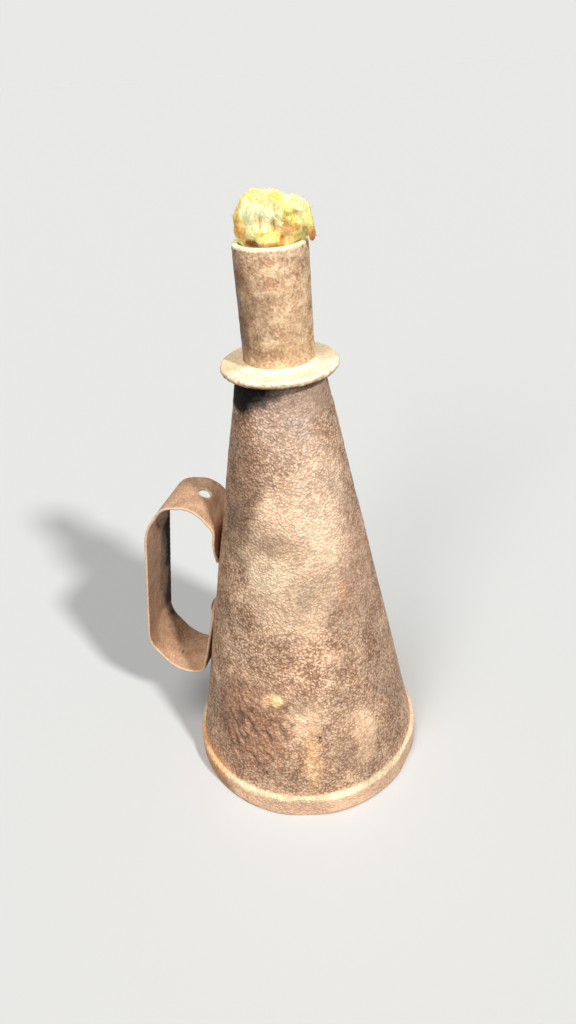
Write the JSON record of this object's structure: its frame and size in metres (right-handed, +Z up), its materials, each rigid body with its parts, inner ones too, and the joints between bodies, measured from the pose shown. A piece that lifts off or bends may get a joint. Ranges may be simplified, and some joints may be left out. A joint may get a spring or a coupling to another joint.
{
  "type": "railroad track torch",
  "caption": "Hand torch: a tall conical oil can on a rimmed base, a screw-in tube burner with a flange and a cotton wick, and a bent strap finger handle.",
  "frame": {"origin": "centre of the round base, on the surface that the torch stands on", "axes": "+Z up along the axis of the cone and of the burner; the strap handle stands out on -X"},
  "size_m": [0.1201, 0.1016, 0.2452],
  "materials": {
    "cone_iron": "rusted and pitted, dark brown with tan bloom",
    "base_iron": "rusted, worn pale on the rim",
    "bush_iron": "oil-stained, threaded",
    "gasket_leather": "oil-blackened, matt",
    "flange_iron": "rusted, worn pale on top",
    "tube_iron": "rusted and pitted",
    "wick_cotton": "oil-soaked cotton roving",
    "tuft_cotton": "frayed cotton, cream with orange-brown stains",
    "strap_steel": "even brown rust",
    "rivet_iron": "rusted"
  },
  "bodies": {
    "reservoir": {"body_cone": "cone_iron", "base_pan": "base_iron", "neck_bush": "bush_iron", "handle_strap": "strap_steel", "upper_rivet": "rivet_iron", "lower_rivet": "rivet_iron", "upper_burr": "rivet_iron", "lower_burr": "rivet_iron"},
    "washer": {"neck_gasket": "gasket_leather"},
    "burner": {"burner_flange": "flange_iron", "wick_tube": "tube_iron"},
    "wick": {"wick_strands": "wick_cotton", "wick_tuft": "tuft_cotton"}
  },
  "joints": [
    {"name": "burner_rise", "type": "slide", "parent": "reservoir", "child": "washer", "axis": [0, 0, 1], "range_m": [0, 0.0109]},
    {"name": "burner_turn", "type": "hinge", "parent": "washer", "child": "burner", "pos_m": [0, 0, 0.1831], "axis": [0, 0, 1], "range_deg": [0, 2160]},
    {"name": "wick_feed", "type": "slide", "parent": "burner", "child": "wick", "axis": [0, 0, 1], "range_m": [0, 0.025]}
  ],
  "couplings": [
    {"joint": "burner_rise", "follows": "burner_turn", "m_per_rad": 0.00028875}
  ]
}
